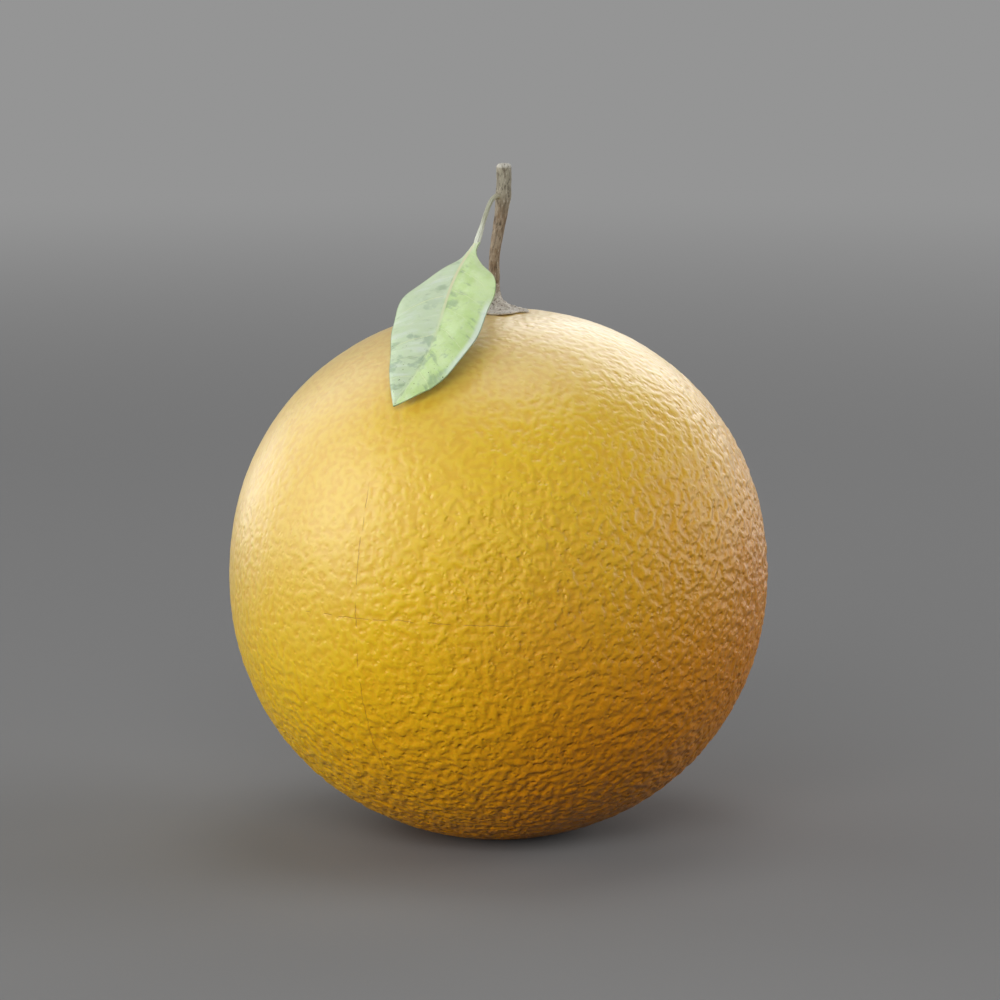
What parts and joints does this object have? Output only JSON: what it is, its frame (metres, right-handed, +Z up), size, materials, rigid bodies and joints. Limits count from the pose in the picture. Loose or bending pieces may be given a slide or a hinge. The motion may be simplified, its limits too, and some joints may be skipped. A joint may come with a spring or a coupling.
{
  "type": "orange",
  "caption": "Whole round orange with pebbled peel, a star-shaped calyx button, a short cut twig and a folded green leaf on a thin stalk, resting on a small flat spot.",
  "frame": {"origin": "centre of the small flat spot that the fruit rests on", "axes": "+Z up the fruit's own axis to the twig, the leaf hangs towards -Y and a little to -X, +X to the right of the leaf"},
  "size_m": [0.0801, 0.0799, 0.1003],
  "materials": {
    "peel": "satin",
    "calyx_bark": "matte",
    "twig_bark": "matte",
    "leaf_stalk": "matte",
    "leaf": "satin"
  },
  "bodies": {
    "root": {"fruit": "peel", "calyx": "calyx_bark", "stem": "twig_bark", "petiole": "leaf_stalk", "leaf_blade": "leaf"}
  },
  "joints": []
}
